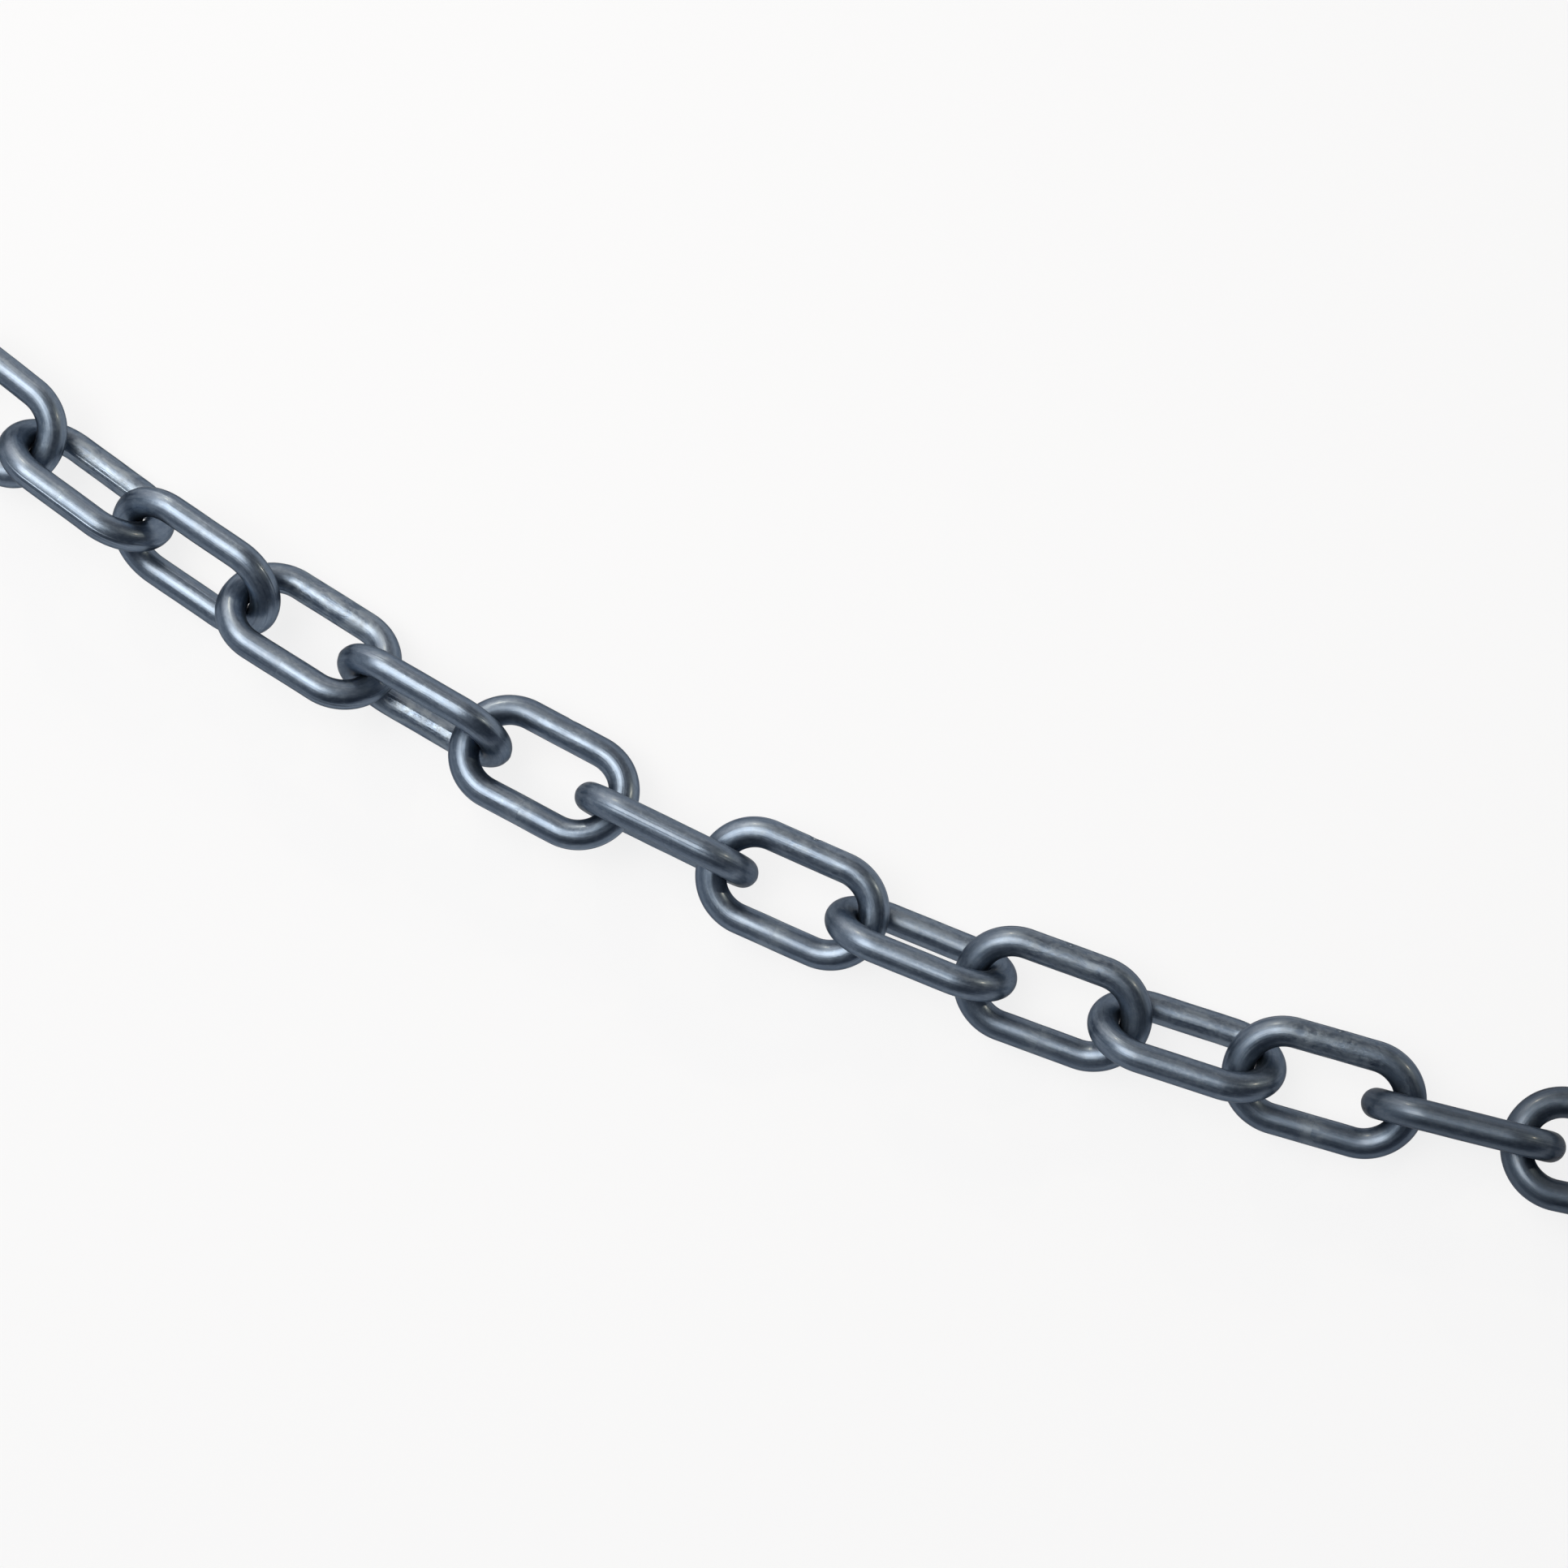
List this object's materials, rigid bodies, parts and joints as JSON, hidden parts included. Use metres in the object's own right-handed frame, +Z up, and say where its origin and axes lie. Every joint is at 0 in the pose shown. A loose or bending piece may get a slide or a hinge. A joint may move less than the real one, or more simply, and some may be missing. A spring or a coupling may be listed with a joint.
{
  "type": "plastic link chain",
  "caption": "Plastic link chain: closed oval rings of round bar, each moulded through the one before, drawn out in a slow bend; every link swings about the crown it hangs on.",
  "frame": {"origin": "middle of the box round the chain as it lies, on the surface that it lies on", "axes": "+X along the chain from its first link to its last, +Y towards the inside of its slow bend, +Z up"},
  "size_m": [0.7322, 0.0842, 0.0322],
  "materials": {
    "moulded_plastic": "satin, gunmetal grey with a fine metallic pigment"
  },
  "bodies": {
    "link_01": {"link_01": "moulded_plastic"},
    "link_02": {"link_02": "moulded_plastic"},
    "link_03": {"link_03": "moulded_plastic"},
    "link_04": {"link_04": "moulded_plastic"},
    "link_05": {"link_05": "moulded_plastic"},
    "link_06": {"link_06": "moulded_plastic"},
    "link_07": {"link_07": "moulded_plastic"},
    "link_08": {"link_08": "moulded_plastic"},
    "link_09": {"link_09": "moulded_plastic"},
    "link_10": {"link_10": "moulded_plastic"},
    "link_11": {"link_11": "moulded_plastic"},
    "link_12": {"link_12": "moulded_plastic"},
    "link_13": {"link_13": "moulded_plastic"},
    "link_14": {"link_14": "moulded_plastic"},
    "link_15": {"link_15": "moulded_plastic"},
    "link_16": {"link_16": "moulded_plastic"},
    "link_17": {"link_17": "moulded_plastic"},
    "link_18": {"link_18": "moulded_plastic"},
    "link_19": {"link_19": "moulded_plastic"},
    "link_20": {"link_20": "moulded_plastic"}
  },
  "joints": [
    {"name": "swing_02", "type": "hinge", "parent": "link_01", "child": "link_02", "pos_m": [-0.31949, 0.02349, 0.01609], "axis": [0, 0, -1], "range_deg": [-90, 90]},
    {"name": "swing_03", "type": "hinge", "parent": "link_02", "child": "link_03", "pos_m": [-0.28451, 0.01294, 0.01609], "axis": [0.2913, 0.9527, 0.0872], "range_deg": [-90, 90]},
    {"name": "swing_04", "type": "hinge", "parent": "link_03", "child": "link_04", "pos_m": [-0.24917, 0.00363, 0.01609], "axis": [-0.0449, -0.1677, 0.9848], "range_deg": [-90, 90]},
    {"name": "swing_05", "type": "hinge", "parent": "link_04", "child": "link_05", "pos_m": [-0.21353, -0.00445, 0.01609], "axis": [-0.2173, -0.9412, -0.2588], "range_deg": [-90, 90]},
    {"name": "swing_06", "type": "hinge", "parent": "link_05", "child": "link_06", "pos_m": [-0.17763, -0.01128, 0.01609], "axis": [0.0954, 0.4908, -0.866], "range_deg": [-90, 90]},
    {"name": "swing_07", "type": "hinge", "parent": "link_06", "child": "link_07", "pos_m": [-0.14152, -0.01685, 0.01609], "axis": [0.1087, 0.6861, 0.7193], "range_deg": [-90, 90]},
    {"name": "swing_08", "type": "hinge", "parent": "link_07", "child": "link_08", "pos_m": [-0.10523, -0.02115, 0.01609], "axis": [-0.101, -0.8229, 0.5592], "range_deg": [-90, 90]},
    {"name": "swing_09", "type": "hinge", "parent": "link_08", "child": "link_09", "pos_m": [-0.06881, -0.02419, 0.01609], "axis": [-0.0284, -0.3243, -0.9455], "range_deg": [-90, 90]},
    {"name": "swing_10", "type": "hinge", "parent": "link_09", "child": "link_10", "pos_m": [-0.03231, -0.02596, 0.01609], "axis": [0.0508, 0.969, -0.2419], "range_deg": [-90, 90]},
    {"name": "swing_11", "type": "hinge", "parent": "link_10", "child": "link_11", "pos_m": [0.00423, -0.02645, 0.01609], "axis": [0.0012, 0.0697, 0.9976], "range_deg": [-90, 90]},
    {"name": "swing_12", "type": "hinge", "parent": "link_11", "child": "link_12", "pos_m": [0.04076, -0.02566, 0.01609], "axis": [0.0171, -0.9815, -0.1908], "range_deg": [-90, 90]},
    {"name": "swing_13", "type": "hinge", "parent": "link_12", "child": "link_13", "pos_m": [0.07725, -0.0236, 0.01609], "axis": [-0.0179, 0.3416, -0.9397], "range_deg": [-90, 90]},
    {"name": "swing_14", "type": "hinge", "parent": "link_13", "child": "link_14", "pos_m": [0.11364, -0.02027, 0.01609], "axis": [-0.0819, 0.9361, 0.342], "range_deg": [-90, 90]},
    {"name": "swing_15", "type": "hinge", "parent": "link_14", "child": "link_15", "pos_m": [0.14989, -0.01567, 0.01609], "axis": [0.0664, -0.5406, 0.8387], "range_deg": [-90, 90]},
    {"name": "swing_16", "type": "hinge", "parent": "link_15", "child": "link_16", "pos_m": [0.18596, -0.00981, 0.01609], "axis": [0.1504, -0.9494, -0.2756], "range_deg": [-90, 90]},
    {"name": "swing_17", "type": "hinge", "parent": "link_16", "child": "link_17", "pos_m": [0.2218, -0.00269, 0.01609], "axis": [0.0033, -0.0171, -0.9998], "range_deg": [-90, 90]},
    {"name": "swing_18", "type": "hinge", "parent": "link_17", "child": "link_18", "pos_m": [0.25738, 0.00567, 0.01609], "axis": [-0.2228, 0.9649, -0.1392], "range_deg": [-90, 90]},
    {"name": "swing_19", "type": "hinge", "parent": "link_18", "child": "link_19", "pos_m": [0.29264, 0.01528, 0.01609], "axis": [-0.036, 0.1344, 0.9903], "range_deg": [-90, 90]},
    {"name": "swing_20", "type": "hinge", "parent": "link_19", "child": "link_20", "pos_m": [0.32754, 0.0261, 0.01609], "axis": [0.2913, -0.9527, 0.0872], "range_deg": [-90, 90]}
  ]
}
